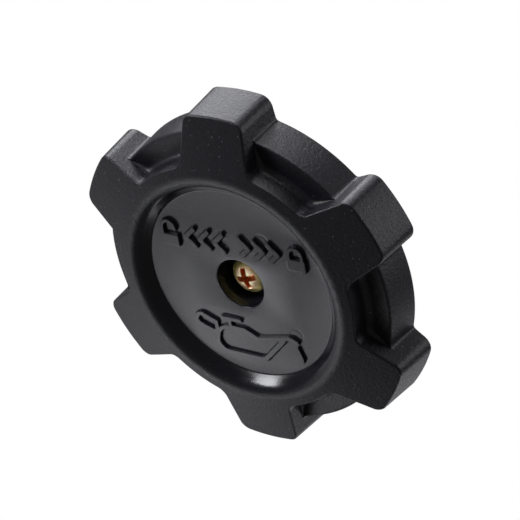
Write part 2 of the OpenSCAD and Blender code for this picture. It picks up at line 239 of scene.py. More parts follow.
def grid_quads(rows, columns, wrap=True):
    """Quads of a grid of rows by columns, whose rows close on themselves if wrap is set."""
    i = np.arange(rows - 1)[:, None] * columns
    j = np.arange(columns if wrap else columns - 1)[None, :]
    k = (j + 1) % columns
    quads = np.stack([i + j, i + columns + j, i + columns + k, i + k], axis=-1)
    return quads.reshape(-1, 4)


def joined(patches):
    """One (points, faces) from several: the faces of each are shifted past the points before it."""
    points = []
    faces = []
    count = 0
    for patch_points, patch_faces in patches:
        points.append(patch_points.reshape(-1, 3))
        faces += (patch_faces + count).tolist()
        count += len(points[-1])
    return np.concatenate(points), faces


def add_object(name, data):
    """An object with the data, linked to the scene."""
    thing = bpy.data.objects.new(name, data)
    bpy.context.scene.collection.objects.link(thing)
    return thing


def make_piece(name, patches, material, smooth=32):
    """A mesh object from patches in millimetres: doubles merged, flat slivers dissolved, faces turned out.
    Edges sharper than the smooth angle, in degrees, stay sharp."""
    points, faces = joined(patches)
    double, sliver = 2e-6, 1e-6
    mesh = bpy.data.meshes.new(name)
    mesh.from_pydata((points * MM).tolist(), [], faces)
    clean = bmesh.new()
    clean.from_mesh(mesh)
    bmesh.ops.remove_doubles(clean, verts=clean.verts, dist=double)
    bmesh.ops.dissolve_degenerate(clean, edges=clean.edges, dist=sliver)
    bmesh.ops.recalc_face_normals(clean, faces=clean.faces)
    clean.to_mesh(mesh)
    clean.free()
    mesh.shade_smooth()
    mesh.set_sharp_from_angle(angle=math.radians(smooth))
    mesh.materials.append(material)
    return add_object(name, mesh)


def stand_for(piece, node, body):
    """The piece takes a CAD node's place, on its body: the node is hidden."""
    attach(piece, body)
    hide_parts(node)
    return piece


def turned(profile, columns):
    """A surface of revolution about Z: point (r, z) of the profile becomes (r cos a, r sin a, z) for every
    angle a of the columns, which are an angle count or the angles themselves."""
    if np.isscalar(columns):
        columns = np.linspace(0, 2 * np.pi, columns, endpoint=False)
    profile = np.asarray(profile, float)
    r = profile[:, 0, None]
    z = np.broadcast_to(profile[:, 1, None], (len(profile), len(columns)))
    points = np.stack([r * np.cos(columns), r * np.sin(columns), z], axis=-1)
    return points, grid_quads(len(profile), len(columns))


def rounded(corner, back, ahead, radius, steps):
    """A circular arc of the radius in the corner between two directions, as points from the one to the other:
    a rational quadratic Bezier curve whose middle weight is the sine of half the corner's angle."""
    corner, back, ahead = (np.asarray(v, float) for v in (corner, back, ahead))
    back = back / np.linalg.norm(back, axis=-1, keepdims=True)
    ahead = ahead / np.linalg.norm(ahead, axis=-1, keepdims=True)
    half = np.arccos(np.clip((back * ahead).sum(-1), -1, 1)) / 2
    reach = (np.asarray(radius) / np.tan(half))[..., None]
    weight = np.sin(half)[..., None]
    t = np.linspace(0, 1, steps + 1).reshape((-1,) + (1,) * corner.ndim)
    a, b, c = (1 - t) ** 2, 2 * weight * t * (1 - t), t ** 2
    start, end = corner + reach * back, corner + reach * ahead
    return (a * start + b * corner + c * end) / (a + b + c)


def smoothstep(x):
    """0 below 0, 1 above 1, and 3x^2 - 2x^3 between."""
    x = np.clip(x, 0, 1)
    return x * x * (3 - 2 * x)


def cad_shell(node):
    """Corners in millimetres and triangles of a CAD node, with its loose corners merged."""
    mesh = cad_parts[node].data
    mesh.calc_loop_triangles()
    corners = np.empty(len(mesh.vertices) * 3)
    mesh.vertices.foreach_get("co", corners)
    triangles = np.empty(len(mesh.loop_triangles) * 3, dtype=np.int32)
    mesh.loop_triangles.foreach_get("vertices", triangles)
    places = np.round(corners.reshape(-1, 3) / MM, 3)
    merged, index = np.unique(places, axis=0, return_inverse=True)
    triangles = index.reshape(-1)[triangles].reshape(-1, 3)
    real = (triangles != np.roll(triangles, 1, axis=1)).all(axis=1)
    return merged, triangles[real]


def shell_with(triangles, count, seed):
    """The triangles joined to the corner seed: each corner's label falls to the lowest of its triangles'
    labels until none changes."""
    label = np.arange(count)
    while True:
        lowest = label[triangles].min(axis=1)
        following = label.copy()
        np.minimum.at(following, triangles.ravel(), np.repeat(lowest, 3))
        if np.array_equal(following, label):
            break
        label = following
    return triangles[label[triangles[:, 0]] == label[seed]]


def open_edges(triangles):
    """The edges that only one triangle has."""
    edges = np.concatenate([triangles[:, [0, 1]], triangles[:, [1, 2]], triangles[:, [2, 0]]])
    edges = np.sort(edges, axis=1)
    unique, count = np.unique(edges, axis=0, return_counts=True)
    return unique[count == 1]


def within(points, starts, ends):
    """True for each point that lies inside the outline of straight edges: a ray to its right crosses an odd
    number of them."""
    y = points[:, None, 1]
    rise = ends[:, 1] - starts[:, 1]
    crosses = (starts[:, 1] > y) != (ends[:, 1] > y)
    slope = (ends[:, 0] - starts[:, 0]) / np.where(rise == 0, 1, rise)
    x = starts[:, 0] + (y - starts[:, 1]) * slope
    return (crosses & (points[:, None, 0] < x)).sum(axis=1) % 2 == 1


def ring_edges(loop):
    """Starts and ends of the edges of a closed loop of points."""
    return loop, np.roll(loop, -1, axis=0)


def flat_fill(outer, inner, height):
    """Triangles at one height between an outer outline and inner ones, each given as the starts and ends of
    its edges: a constrained Delaunay triangulation, of which the faces inside the outer outline and outside
    the inner ones are kept."""
    outlines = [outer] + inner
    starts = np.concatenate([s for s, _ in outlines])
    ends = np.concatenate([e for _, e in outlines])
    points, index = np.unique(np.round(np.concatenate([starts, ends]), 6), axis=0, return_inverse=True)
    edges = index.reshape(2, -1).T
    corners, _, faces, _, _, _ = delaunay_2d_cdt(points.tolist(), edges.tolist(), [], 0, 1e-6)
    corners = np.array([tuple(c) for c in corners])
    faces = np.array(faces)
    middles = corners[faces].mean(axis=1)
    keep = within(middles, *outer)
    for outline in inner:
        keep &= ~within(middles, *outline)
    return np.column_stack([corners, np.full(len(corners), height)]), faces[keep]


def arc(centre, radius, start, end, count, outward=1, last=False):
    """Points on an arc between two angles, with their outward normals: radial, or inward on a fillet."""
    a = np.linspace(start, end, count + 1 if last else count, endpoint=last)
    spoke = np.stack([np.cos(a), np.sin(a)], axis=1)
    return np.asarray(centre) + radius * spoke, outward * spoke


def straight(start, end, normal, count):
    """Points on a straight line, without its end, with their normal."""
    t = np.linspace(0, 1, count, endpoint=False)[:, None]
    points = (1 - t) * start + t * end
    return points, np.broadcast_to(normal, points.shape)


def half_outlines(k):
    """Two matched half outlines of the knob, from the middle of the lobe on +Y clockwise to the middle of
    the next pocket, each as (points, normals). The upper one runs down to the ring and the lower one to the
    skirt, and they share the lobe's tip, corner and outer side. Past those, three stretches of as many points
    each keep the two matched, so the skirt's arc is split in two."""
    flare = k.lobe_flare
    side_normal = np.array([math.cos(flare), math.sin(flare)])
    tip_steps, corner_steps, side_steps, steps = 7, 12, 4, 9
    split_share = 0.3

    def beside(radius, side, distance):
        """Centre of a circle that touches the lobe's side, at a distance from the axis."""
        slope = math.tan(flare)
        reach = k.lobe_half + k.tip_radius * slope + side * radius / math.cos(flare)
        spare = reach ** 2 * slope ** 2 - (1 + slope ** 2) * (reach ** 2 - distance ** 2)
        y = (reach * slope + math.sqrt(spare)) / (1 + slope ** 2)
        return np.array([reach - slope * y, y])

    def bearing(point):
        """Angle of a point from +X."""
        return math.atan2(point[1], point[0])

    corner = beside(k.corner_radius, -1, k.tip_radius - k.corner_radius)
    low = beside(k.skirt_fillet, 1, k.skirt_radius + k.skirt_fillet)
    high = beside(k.ring_fillet, 1, k.ring_radius + k.ring_fillet)
    on_corner = corner + k.corner_radius * side_normal
    on_low = low - k.skirt_fillet * side_normal
    on_high = high - k.ring_fillet * side_normal
    lobe = math.pi / 2
    pocket = lobe - math.pi / LOBES
    tip = [
        arc((0, 0), k.tip_radius, lobe, bearing(corner), tip_steps),
        arc(corner, k.corner_radius, bearing(corner), flare, corner_steps),
        straight(on_corner, on_low, side_normal, side_steps),
    ]
    split = bearing(low) + split_share * (pocket - bearing(low))
    lower = tip + [
        arc(low, k.skirt_fillet, math.pi + flare, math.pi + bearing(low), steps, outward=-1),
        arc((0, 0), k.skirt_radius, bearing(low), split, steps),
        arc((0, 0), k.skirt_radius, split, pocket, steps, last=True),
    ]
    upper = tip + [
        straight(on_low, on_high, side_normal, steps),
        arc(high, k.ring_fillet, math.pi + flare, math.pi + bearing(high), steps, outward=-1),
        arc((0, 0), k.ring_radius, bearing(high), pocket, steps, last=True),
    ]
    return tuple(tuple(np.concatenate(part) for part in zip(*outline)) for outline in (upper, lower))


def whole_outline(half):
    """All round the knob, anticlockwise, from a half outline: the half is mirrored, and the pair is turned to
    each lobe."""
    mirror = np.array([-1, 1])
    sector = [np.concatenate([part[::-1], part[1:-1] * mirror]) for part in half]
    turns = np.arange(LOBES) * 2 * np.pi / LOBES
    c, s = np.cos(turns), np.sin(turns)
    turn = np.stack([np.stack([c, -s], -1), np.stack([s, c], -1)], -2)
    return [np.einsum("kij,nj->kni", turn, part).reshape(-1, 2) for part in sector]


def crown_height(k, radius):
    """Height of the sloping front face at a radius."""
    return k.tip_height + (k.tip_radius - radius) * np.tan(k.crown)


def between(a, b, shares):
    """Rows, or points, at shares of the way from a to b. Shares close to 0 and 1 keep a flat stretch shaded
    flat beside the roundings at its ends."""
    t = np.array(shares).reshape((-1,) + (1,) * a.ndim)
    return (1 - t) * a + t * b


def dish_profile(k):
    """Profile (r, z) from the front face over the rounded lip, down the dish's wall and round the fillet to
    the edge of its flat floor."""
    fall, rise = math.tan(k.crown), math.tan(k.dish_slope)
    lip_r = (k.tip_height - k.dish_height + k.tip_radius * fall + k.dish_radius * rise) / (fall + rise)
    lip = (lip_r, crown_height(k, lip_r))
    down_wall = (-math.cos(k.dish_slope), -math.sin(k.dish_slope))
    over = rounded(lip, (math.cos(k.crown), -math.sin(k.crown)), down_wall, k.lip_radius, 12)
    foot = rounded((k.dish_radius, k.dish_height), (-down_wall[0], -down_wall[1]), (-1, 0), k.dish_fillet, 5)
    return np.concatenate([over, between(over[-1], foot[0], (0.03, 0.35, 0.65, 0.97)), foot])


def knob_outside(k):
    """The knob's outside as rows of points round it, from the edge of the dish's floor over the lip, the
    sloping face and the rounded edge, down the ring, over the pocket floor and down the skirt to the back.
    A row is an outline moved along its normals by an offset, at a height; where a lobe's tip runs straight
    through, the pocket's rows fall together."""
    (upper, up_n), (lower, low_n) = (whole_outline(half) for half in half_outlines(k))
    radial = upper / np.linalg.norm(upper, axis=1, keepdims=True)
    facing = (up_n * radial).sum(axis=1)
    low_facing = (low_n * lower).sum(axis=1) / np.linalg.norm(lower, axis=1)
    top = crown_height(k, np.linalg.norm(upper, axis=1))
    # Walls lean by the tips' draft where they face away from the axis, and by the sides' draft across it
    tip_lean, side_lean = math.tan(k.tip_draft), math.tan(k.side_draft)
    lean = side_lean + (tip_lean - side_lean) * facing ** 2
    low_lean = side_lean + (tip_lean - side_lean) * low_facing ** 2
    # Where the pocket closes against a lobe, its fillets shrink away and the skirt goes on from the ring
    pocket_width = np.linalg.norm(lower - upper, axis=1)
    share = smoothstep(pocket_width / (3 * (k.edge_radius + k.pocket_fillet)))
    foot = (top - k.pocket_height) * lean
    full_width = 1.5
    start = foot * (1 - smoothstep(pocket_width / full_width))
    end = start + (k.pocket_height - k.back_height) * low_lean
    ones = np.ones_like(lean)
    inwards = (-ones, 0 * ones)
    outwards = (ones, 0 * ones)

    def row(outline, normal, offset, height):
        """One row, or several, of points round the knob."""
        offset = np.broadcast_to(offset, np.broadcast_shapes(offset.shape, np.shape(height)))
        flat = outline + normal * offset[..., None]
        height = np.broadcast_to(height, offset.shape)
        return np.concatenate([flat, height[..., None]], axis=-1).reshape(-1, len(outline), 3)

    def rows_round(outline, normal, offset, height, back, ahead, radius, steps):
        """Rows round the edge at an offset and a height, between two directions given as offset and rise."""
        corner, back, ahead = (np.stack(pair, -1) for pair in ((offset, height), back, ahead))
        rounding = rounded(corner, back, ahead, radius, steps)
        return row(outline, normal, rounding[..., 0], rounding[..., 1])

    crown_inwards = (-ones, np.tan(k.crown) * facing)
    over_edge = rows_round(upper, up_n, 0 * top, top, crown_inwards, (lean, -ones), k.edge_radius, 6)
    into_pocket = rows_round(upper, up_n, foot, k.pocket_height * ones, (-lean, ones), outwards,
                             k.pocket_fillet * share, 5)
    out_of_pocket = rows_round(lower, low_n, start, k.pocket_height * ones, inwards, (low_lean, -ones),
                               k.edge_radius * share, 5)
    round_back = rows_round(lower, low_n, end, k.back_height * ones, (-low_lean, ones), inwards,
                            k.back_radius, 4)
    ring_wall = between(over_edge[-1], into_pocket[0], (0.04, 0.35, 0.65, 0.96))
    pocket_floor = between(into_pocket[-1], out_of_pocket[0], (0.04, 0.3, 0.5, 0.7, 0.96))
    skirt_wall = between(out_of_pocket[-1], round_back[0], (0.02, 0.25, 0.5, 0.75, 0.98))
    bearing = np.arctan2(over_edge[0, :, 1], over_edge[0, :, 0])
    dish, _ = turned(dish_profile(k)[::-1], bearing)
    face = between(dish[-1], over_edge[0], (0.03, 0.2, 0.4, 0.6, 0.8, 0.97))
    face[..., 2] = crown_height(k, np.linalg.norm(face[..., :2], axis=-1))
    points = np.concatenate([dish, face, over_edge, ring_wall, into_pocket, pocket_floor, out_of_pocket,
                             skirt_wall, round_back])
    return points, grid_quads(len(points), points.shape[1])


def stroke(x, y, path, half_width):
    """Distance of each point from a bent stroke: the least distance to its straight pieces, less half its
    width."""
    path = np.asarray(path, float)
    a, d = path[:-1], np.diff(path, axis=0)
    px, py = x[..., None] - a[:, 0], y[..., None] - a[:, 1]
    t = np.clip((px * d[:, 0] + py * d[:, 1]) / (d ** 2).sum(axis=1), 0, 1)
    return np.hypot(px - t * d[:, 0], py - t * d[:, 1]).min(axis=-1) - half_width


def round_box(x, y, centre, half, radius):
    """Distance of each point from a rectangle with rounded corners."""
    px = np.abs(x - centre[0]) - half[0] + radius
    py = np.abs(y - centre[1]) - half[1] + radius
    return np.hypot(np.maximum(px, 0), np.maximum(py, 0)) + np.minimum(np.maximum(px, py), 0) - radius


def bend(centre, radius, start, end, count=8):
    """Points on an arc of a path, from one bearing to another in degrees."""
    turn = np.radians(np.linspace(start, end, count))
    return list(zip(centre[0] + radius * np.cos(turn), centre[1] + radius * np.sin(turn)))


def padlock(x, y, centre, lift):
    """Distance from a padlock: a body and a bow, whose right leg stops short of the body if the bow is
    lifted."""
    cx, cy = centre
    body_middle, body_half, corner = cy - 1.2, (2.1, 1.3), 0.35
    bow_radius, bow_middle, line = 1.45, cy + 0.9 + lift, 0.4
    left = [(cx - bow_radius, cy)]
    right = [(cx + bow_radius, cy + 2.4 * lift)]
    bow = right + bend((cx, bow_middle), bow_radius, 0, 180) + left
    return np.minimum(round_box(x, y, (cx, body_middle), body_half, corner), stroke(x, y, bow, line))


def turning_marks(x, y):
    """Distance from the marks above the well: an open padlock, arrowheads that point to it, arrowheads that
    point the other way, and a closed padlock."""
    lock_x, lock_y, open_lift = 14.0, 8.4, 0.5
    first, spacing, reach, middle, half_height, line = 1.9, 3.2, 1.9, 8.6, 1.8, 0.55
    field = np.minimum(padlock(x, y, (-lock_x, lock_y), open_lift), padlock(x, y, (lock_x, lock_y), 0.0))
    for side in (-1, 1):
        for place in first + spacing * np.arange(3):
            top, bottom = (side * place, middle + half_height), (side * place, middle - half_height)
            point = (side * (place + reach), middle)
            field = np.minimum(field, stroke(x, y, [top, point, bottom], line))
    return field


def oil_can(x, y):
    """Distance from the oil can below the well: a hooked handle, a body with a round belly and a long spout,
    a plunger on its stem, and a drop whose radius grows downwards."""
    line, wide_line = 0.48, 0.57
    heel = (3.2, -15.7)
    handle = [(-7.1, -11.7), (-7.0, -9.65)] + bend((-10.15, -9.8), 1.28, 75, 235) + [(-7.1, -12.1)]
    spout = [(-3.2, -10.15), (-0.6, -10.15), (2.2, -11.45), (3.0, -11.35), (9.3, -9.87), (10.1, -9.9),
             (11.0, -10.4)]
    top = bend((-4.4, -13.0), 2.65, 175, 105) + spout
    belly = bend((-5.0, -13.6), 2.27, 160, 270) + [(2.5, -15.87), heel]
    plunger = [(-5.3, -8.3), (-1.4, -8.28)]
    stem = [(-3.8, -8.8), (-3.75, -10.2)]
    field = stroke(x, y, [heel, (7.9, -10.7)], wide_line)
    for path in (handle, top, belly, plunger, stem):
        field = np.minimum(field, stroke(x, y, path, line))
    drop_x, high, low, point_radius, growth = 11.0, -11.55, -14.0, 0.2, 0.88
    along = np.clip((high - y) / (high - low), 0, 1)
    drop = np.hypot(x - drop_x, y - (high + (low - high) * along)) - point_radius - growth * along
    return np.minimum(field, drop)


def witness_rings(x, y):
    """Distance from the two faint rings that the mould's ejector pins leave in the dish's floor."""
    radius, half_width = 1.3, 0.08
    rings = [np.abs(np.hypot(x - cx, y - cy) - radius) for cx, cy in ((6.6, 10.6), (10.9, -9.0))]
    return np.minimum(*rings) - half_width


def marked_patch(k, field, rise, left, right, low, high):
    """A fine patch of the dish's floor, raised where the field is negative: the height is the floor's plus
    the rise times a smooth step of the distance, and the ejector pins' rings are sunk where no mark lies. Its
    rows run from low(x) to high(x)."""
    columns = int((right - left) / k.mark_grid)
    x = np.linspace(left, right, columns)
    bottom, top = low(x), high(x)
    rows = int((top - bottom).max() / k.mark_grid)
    t = np.linspace(0, 1, rows)[:, None]
    y = bottom + (top - bottom) * t
    x = np.broadcast_to(x, y.shape)
    mark = smoothstep(0.5 - field(x, y) / k.mark_edge)
    ring = smoothstep(0.5 - witness_rings(x, y) / k.mark_edge)
    points = np.stack([x, y, k.dish_height + rise * mark - k.witness_depth * ring * (1 - mark)], axis=-1)
    rim = np.concatenate([points[0, :-1], points[:-1, -1], points[-1, :0:-1], points[:0:-1, 0]])
    return (points, grid_quads(rows, columns, wrap=False)), rim[:, :2]


def knob_well(k, floor):
    """Profile of the screw's well, from its rounded mouth down to the seal's seat."""
    mouth = rounded((k.well_radius, k.dish_height), (1, 0), (0, -1), k.well_edge, 5)
    foot = rounded((k.well_radius, floor), (0, 1), (-1, 0), k.well_edge, 4)
    return np.concatenate([mouth, foot])


def knob_patches(k):
    """All patches of the knob: its outside, the dish's floor with its marks, the well, and the inside that
    the frame gives, joined to them at the back edge and at the well's foot."""
    outside = knob_outside(k)
    floor_ring = outside[0][0, :, :2]
    back_ring = outside[0][-1, :, :2]
    margin, well_columns = 0.35, 144
    reach = k.dish_radius - margin
    seat = SEAL.low
    well, well_quads = turned(knob_well(k, seat), well_columns)

    def arch(x):
        """Half height of the circle that the marked patches keep inside, at x."""
        return np.sqrt(reach ** 2 - x ** 2)

    def at(heights, height):
        """True where one of the heights is the given one, to a hundredth of a millimetre."""
        return np.abs(heights - height) < 0.01

    above, above_rim = marked_patch(k, turning_marks, k.mark_height, -16.6, 16.6,
                                    lambda x: 5.6 + 0 * x, lambda x: np.minimum(arch(x), 12.2))
    below, below_rim = marked_patch(k, oil_can, k.can_height, -12.3, 12.8,
                                    lambda x: -np.minimum(arch(x), 16.9), lambda x: -7.3 + 0 * x)
    holes = [ring_edges(well[0, :, :2]), ring_edges(above_rim), ring_edges(below_rim)]
    floor = flat_fill(ring_edges(floor_ring), holes, k.dish_height)
    corners, triangles = cad_shell("grip_knob")
    heights = corners[triangles][..., 2]
    cut = at(heights, k.back_height).all(axis=1) | at(heights, seat).all(axis=1)
    inside = shell_with(triangles[~cut], len(corners), corners[:, 2].argmin())
    edges = open_edges(inside)
    starts, ends = corners[edges[:, 0]], corners[edges[:, 1]]
    at_back, at_seat = at(starts[:, 2], k.back_height), at(starts[:, 2], seat)
    back = flat_fill(ring_edges(back_ring), [(starts[at_back, :2], ends[at_back, :2])], k.back_height)
    foot = flat_fill(ring_edges(well[-1, :, :2]), [(starts[at_seat, :2], ends[at_seat, :2])], seat)
    return [outside, (well, well_quads), above, below, floor, (corners, inside), back, foot]


def screw_recess(k, x, y):
    """Depth of the cross recess: four wings with upright sides, whose end walls lean in with depth down to a
    flat bottom. The depth falls to nothing over the slope of a side wall."""
    c, s = math.cos(k.recess_turn), math.sin(k.recess_turn)
    u, v = np.abs(c * x + s * y), np.abs(c * y - s * x)
    along, across = np.maximum(u, v), np.minimum(u, v)
    wall = 0.12
    side = smoothstep((k.wing_width / 2 - across) / wall + 0.5)
    return side * np.clip((k.wing_length - along) / math.tan(k.wing_taper), 0, k.recess_depth)


def screw_patches(k, base, top, end):
    """The pan head and the threaded shank. The head's top is a grid of rings whose height is that of a dome
    less the recess; the thread's radius falls by a triangle wave of the height less the pitch times the
    turn, clipped so that crest and root are flat."""
    columns, recess_rows, face_rows = 240, 70, 8
    brow_width, brow_radius, sole_radius = 0.35, 0.3, 0.12
    neck_length, run_in, point_length = 0.3, 1.5, 0.5
    turn = np.linspace(0, 2 * np.pi, columns, endpoint=False)
    shoulder = k.head_radius - brow_width
    fine_reach = k.wing_length + 0.3
    r = np.concatenate([np.linspace(0, fine_reach, recess_rows),
                        np.linspace(fine_reach + 0.06, shoulder, face_rows)])
    x, y = r[:, None] * np.cos(turn), r[:, None] * np.sin(turn)
    dome = top - k.dome_radius + np.sqrt(k.dome_radius ** 2 - r[:, None] ** 2)
    cap = np.stack([x, y, dome - screw_recess(k, x, y)], axis=-1)
    rim_depth = math.sqrt(k.dome_radius ** 2 - shoulder ** 2)
    rim_z = top - k.dome_radius + rim_depth
    slope = shoulder / rim_depth
    corner = (k.head_radius, rim_z - slope * brow_width)
    brow = rounded(corner, (-1, slope), (0, -1), brow_radius, 6)
    sole = rounded((k.head_radius, base), (0, 1), (-1, 0), sole_radius, 4)
    head = turned(np.concatenate([[(shoulder, rim_z)], brow, sole, [(k.thread_radius, base)]]), turn)
    neck = turned([(k.thread_radius, base), (k.thread_radius, base - neck_length)], turn)
    height = np.arange(base - neck_length, end + point_length, -k.pitch / 8)[:, None]
    lead = height / k.pitch - turn / (2 * np.pi)
    wave = np.abs(2 * (lead - np.floor(lead)) - 1)
    fade = smoothstep((base - height) / run_in - 0.5)
    radius = k.thread_radius - k.thread_depth * fade * np.clip(1.15 - 1.3 * wave, 0, 1)
    radius[0] = k.thread_radius
    thread = np.stack([radius * np.cos(turn), radius * np.sin(turn), height + 0 * turn], axis=-1)
    # The shank's end: its last row drawn in by a share of its radius, at a height above the end
    narrowing = ((1, point_length), (0.93, 0.28), (0.8, 0.05), (0.74, 0), (0.3, 0), (0, 0))
    tip = np.stack([thread[-1] * [f, f, 0] + [0, 0, end + h] for f, h in narrowing])
    return [(cap, grid_quads(len(cap), columns)), head, neck,
            (thread, grid_quads(len(thread), columns)), (tip, grid_quads(len(tip), columns))]


def ring_of(section, columns=192):
    """A ring turned about the axis from its closed section, given in order as (r, z, rounding) corners."""
    section = np.asarray(section, float)
    corners = section[:, :2]
    back, ahead = np.roll(corners, 1, axis=0) - corners, np.roll(corners, -1, axis=0) - corners
    arcs = [rounded(c, b, a, radius, 5) for c, b, a, radius in zip(corners, back, ahead, section[:, 2])]
    profile = np.concatenate(arcs + [arcs[0][:1]])
    return [turned(profile, columns)]


def washer(inner, outer, low, high, edge):
    """Section of a flat ring with rounded edges."""
    return [(outer, low, edge), (outer, high, edge), (inner, high, edge), (inner, low, edge)]


def spring_patches(k, radius, low, high):
    """The coil: a circle of the wire's radius carried along a helix. The end turns lie closed and the rest
    share the rise, and what passes the ground ends is laid flat on them."""
    wire = k.wire_radius
    per_turn, sides = 72, 20
    t = np.linspace(0, k.turns, per_turn * k.turns + 1)[:, None]
    closed = 2 * wire + k.closed_gap
    first, last = wire / 2, high - low - wire / 2
    rise = (last - first - 2 * closed) / (k.turns - 2)
    middle = first + closed + rise * (t - 1)
    z = np.where(t < 1, first + closed * t, np.where(t > k.turns - 1, last - closed * (k.turns - t), middle))
    around = np.linspace(0, 2 * np.pi, sides, endpoint=False)
    r = radius + wire * np.cos(around)
    height = np.clip(z + wire * np.sin(around), 0, high - low)
    points = np.stack([r * np.cos(2 * np.pi * t), r * np.sin(2 * np.pi * t), low + height], axis=-1)
    ends = [np.stack([row, np.broadcast_to(row.mean(axis=0), row.shape)]) for row in (points[0], points[-1])]
    return [(points, grid_quads(len(points), sides))] + [(end, grid_quads(2, sides)) for end in ends]


def nut_patches(k, low, high):
    """The lock nut: a hexagon whose corners a cone cuts back at both ends, a round collar below, and a bore
    that widens into the nylon's seat. The hexagon's radius at an angle is its half width over the cosine of
    the angle from the nearest flat."""
    columns = 180
    turn = np.linspace(0, 2 * np.pi, columns, endpoint=False)
    flats = k.nut_flats / 2
    sixth = np.pi / 3
    corner_r = flats / np.cos((turn + sixth / 2) % sixth - sixth / 2)
    face_r = flats * 0.97
    cone = np.maximum(corner_r - face_r, 0) * math.tan(math.radians(30))
    split = high - k.nut_flat_height
    step, brim_radius = 0.02, 0.45
    bore_chamfer, bore_chamfer_height, seat_chamfer, seat_chamfer_height = 0.3, 0.35, 0.12, 0.1
    inner, nylon_r, nylon_top = k.bore_radius, INSERT.radius, INSERT.high
    brim = rounded((k.collar_radius, low), (0, 1), (-1, 0), brim_radius, 6)

    def ring(radius, height):
        """One row of points round the nut."""
        radius, height = np.broadcast_arrays(radius, height + 0 * turn)
        return np.stack([radius * np.cos(turn), radius * np.sin(turn), height], axis=-1)

    rows = [
        ring(inner, nylon_top),
        ring(inner, high - bore_chamfer_height),
        ring(inner + bore_chamfer, high),
        ring(face_r, high),
        ring(corner_r, high - cone - step),
        ring(corner_r, split + cone + step),
        ring(face_r, split),
        ring(k.collar_radius, split - step),
        *(ring(r, z) for r, z in brim),
        ring(nylon_r + seat_chamfer, low),
        ring(nylon_r, low + seat_chamfer_height),
        ring(nylon_r, nylon_top),
        ring(inner, nylon_top),
    ]
    return [(np.stack(rows), grid_quads(len(rows), columns))]


def bevelled_copy(node, name, material, width):
    """A copy of a CAD node's mesh with its loose corners merged and its flat faces joined, and its sharp
    edges rounded by a Bevel modifier."""
    piece = make_piece(name, [cad_shell(node)], material)
    flat = bmesh.new()
    flat.from_mesh(piece.data)
    bmesh.ops.dissolve_limit(flat, angle_limit=math.radians(1), verts=flat.verts, edges=flat.edges)
    flat.to_mesh(piece.data)
    flat.free()
    bevel = piece.modifiers.new("Edges", "BEVEL")
    bevel.width = width * MM
    bevel.segments = 3
    bevel.limit_method = "ANGLE"
    bevel.angle_limit = math.radians(35)
    bevel.use_clamp_overlap = True
    return piece


def new_material(name):
    """An empty node material, with its nodes, its shader and its Object coordinates."""
    material = bpy.data.materials.new(name)
    material.use_nodes = True
    nodes = material.node_tree.nodes
    nodes.clear()
    shader = nodes.new("ShaderNodeBsdfPrincipled")
    output = nodes.new("ShaderNodeOutputMaterial")
    place = nodes.new("ShaderNodeTexCoord")
    material.node_tree.links.new(shader.outputs["BSDF"], output.inputs["Surface"])
    return material, shader, place.outputs["Object"]


def set_inputs(material, node, **inputs):
    """Links a node's inputs to other nodes' sockets, or sets them to numbers or tuples. An input is named by
    an i and its number, or by its name with low lines for its spaces."""
    for key, value in inputs.items():
        numbered = key[0] == "i" and key[1:].isdigit()
        slot = node.inputs[int(key[1:]) if numbered else key.replace("_", " ")]
        if isinstance(value, bpy.types.NodeSocket):
            material.node_tree.links.new(value, slot)
        else:
            slot.default_value = value


def add_node(material, kind, values=None, **inputs):
    """A node with its settings and its inputs."""
    node = material.node_tree.nodes.new(kind)
    for key, value in (values or {}).items():
        setattr(node, key, value)
    set_inputs(material, node, **inputs)
    return node


def noise(material, place, size, detail=2.0, roughness=0.5):
    """Noise whose features are about size metres across."""
    return add_node(material, "ShaderNodeTexNoise", None, Vector=place, Scale=1 / size, Detail=detail,
                    Roughness=roughness, Lacunarity=2.0).outputs["Fac"]


def ramp(material, value, low, high, start, end):
    """The value's range low to high carried to the range start to end, and held there."""
    return add_node(material, "ShaderNodeMapRange", {"clamp": True}, Value=value, From_Min=low, From_Max=high,
                    To_Min=start, To_Max=end).outputs["Result"]


def varied(material, value, start, end):
    """Noise carried to the range start to end, from the range in which most of its values lie."""
    return ramp(material, value, 0.3, 0.7, start, end)


def maths(material, operation, a, b):
    """Two values joined by an operation."""
    return add_node(material, "ShaderNodeMath", {"operation": operation}, i0=a, i1=b).outputs["Value"]


def vector_maths(material, operation, **inputs):
    """The node that works out an operation on vectors."""
    return add_node(material, "ShaderNodeVectorMath", {"operation": operation}, **inputs)


def from_axis(material, place):
    """Distance of a point from the cap's axis, in metres."""
    flat = vector_maths(material, "MULTIPLY", i0=place, i1=(1, 1, 0)).outputs[0]
    return vector_maths(material, "LENGTH", i0=flat).outputs["Value"]


def tinted(material, fac, a, b):
    """Colour a where fac is 0 and b where it is 1. Each is a colour, or the socket that gives it."""
    a, b = (value if isinstance(value, bpy.types.NodeSocket) else (*value, 1) for value in (a, b))
    return add_node(material, "ShaderNodeMix", {"data_type": "RGBA"}, i0=fac, i6=a, i7=b).outputs[2]


def drifting(material, value, colour_value, dark, light):
    """A colour that noise makes darker and lighter, between two factors."""
    a, b = (tuple(min(1.0, c * factor) for c in colour_value) for factor in (dark, light))
    return tinted(material, value, a, b)


def bumped(material, shader, height, distance, strength):
    """Gives the shader a bump of the height, over a distance in metres."""
    bump = add_node(material, "ShaderNodeBump", None, Strength=strength, Distance=distance, Height=height)
    set_inputs(material, shader, Normal=bump.outputs["Normal"])


